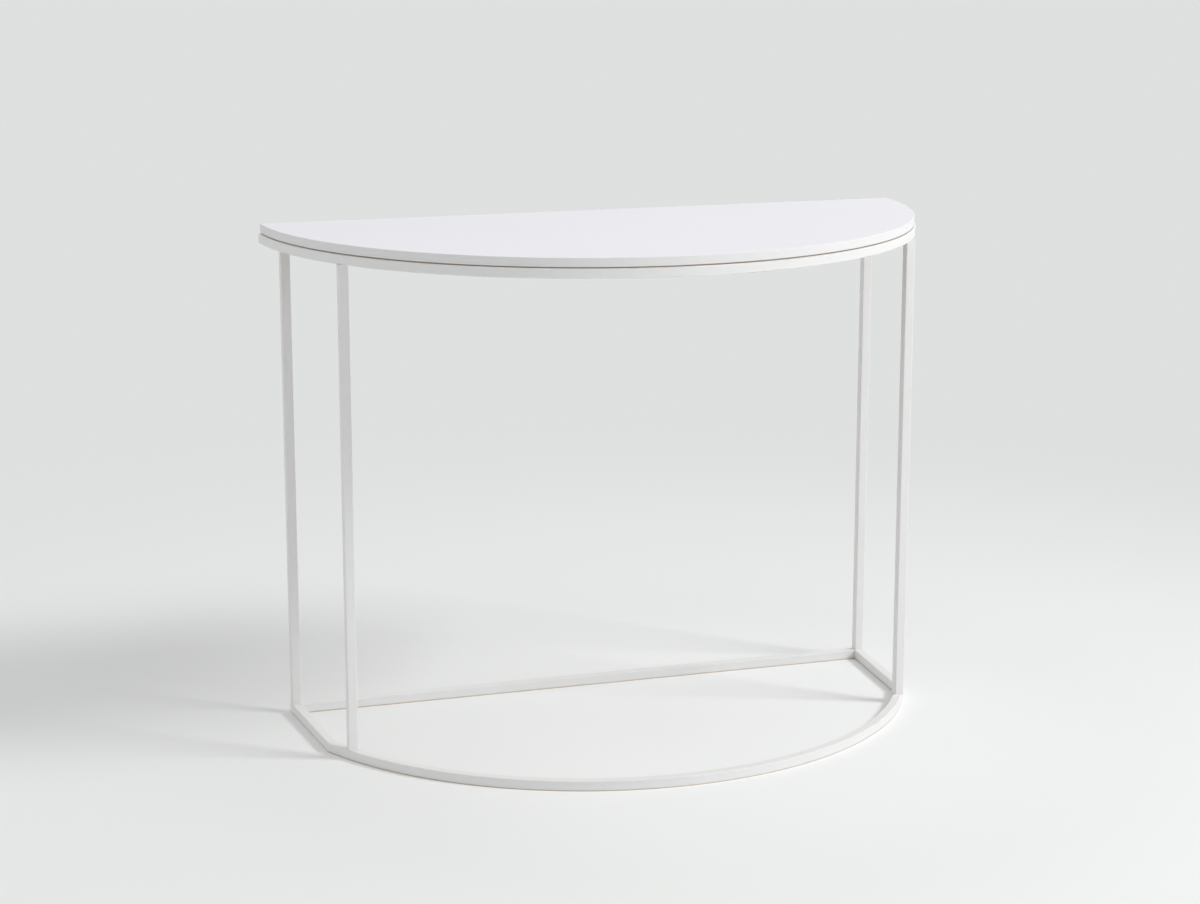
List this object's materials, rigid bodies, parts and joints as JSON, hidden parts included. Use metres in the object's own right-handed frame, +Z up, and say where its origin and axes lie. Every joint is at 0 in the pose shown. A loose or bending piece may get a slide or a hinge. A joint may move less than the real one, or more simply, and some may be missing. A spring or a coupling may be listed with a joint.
{
  "type": "half-round console table",
  "caption": "Half-round console table: thin white half-moon top, held off a slim square-tube frame by a shadow gap, on upright legs that stand on a matching floor ring.",
  "frame": {"origin": "on the floor, under the centre of the table's overall box", "axes": "+X to the right seen from the bowed front, +Y towards the straight back edge, +Z up"},
  "size_m": [1, 0.4999, 0.75],
  "materials": {
    "top_lacquer": "satin white lacquer",
    "frame_coat": "satin white powder coat",
    "strip_rubber": "matt brown",
    "spacer": "matt dark brown",
    "screw_steel": "zinc plated",
    "insert_brass": "turned",
    "glide": "matt dark brown"
  },
  "bodies": {
    "root": {"tabletop": "top_lacquer", "gap_strip": "strip_rubber", "upper_bow_rail": "frame_coat", "upper_back_rail": "frame_coat", "leg_back_left": "frame_coat", "leg_back_right": "frame_coat", "leg_front_left": "frame_coat", "leg_front_right": "frame_coat", "lower_bow_rail": "frame_coat", "lower_back_rail": "frame_coat", "lower_side_rail_right": "frame_coat", "lower_side_rail_left": "frame_coat", "top_tab_front_left": "frame_coat", "top_tab_front_right": "frame_coat", "top_tab_side_left": "frame_coat", "top_tab_side_right": "frame_coat", "top_tab_back_left": "frame_coat", "top_tab_back_right": "frame_coat", "top_spacer_front_left": "spacer", "top_spacer_front_right": "spacer", "top_spacer_side_left": "spacer", "top_spacer_side_right": "spacer", "top_spacer_back_left": "spacer", "top_spacer_back_right": "spacer", "top_screws": "screw_steel", "threaded_inserts": "insert_brass", "glide_back_left": "glide", "glide_back_right": "glide", "glide_front_left": "glide", "glide_front_right": "glide", "glide_bow_middle": "glide", "glide_back_middle": "glide"}
  },
  "joints": []
}
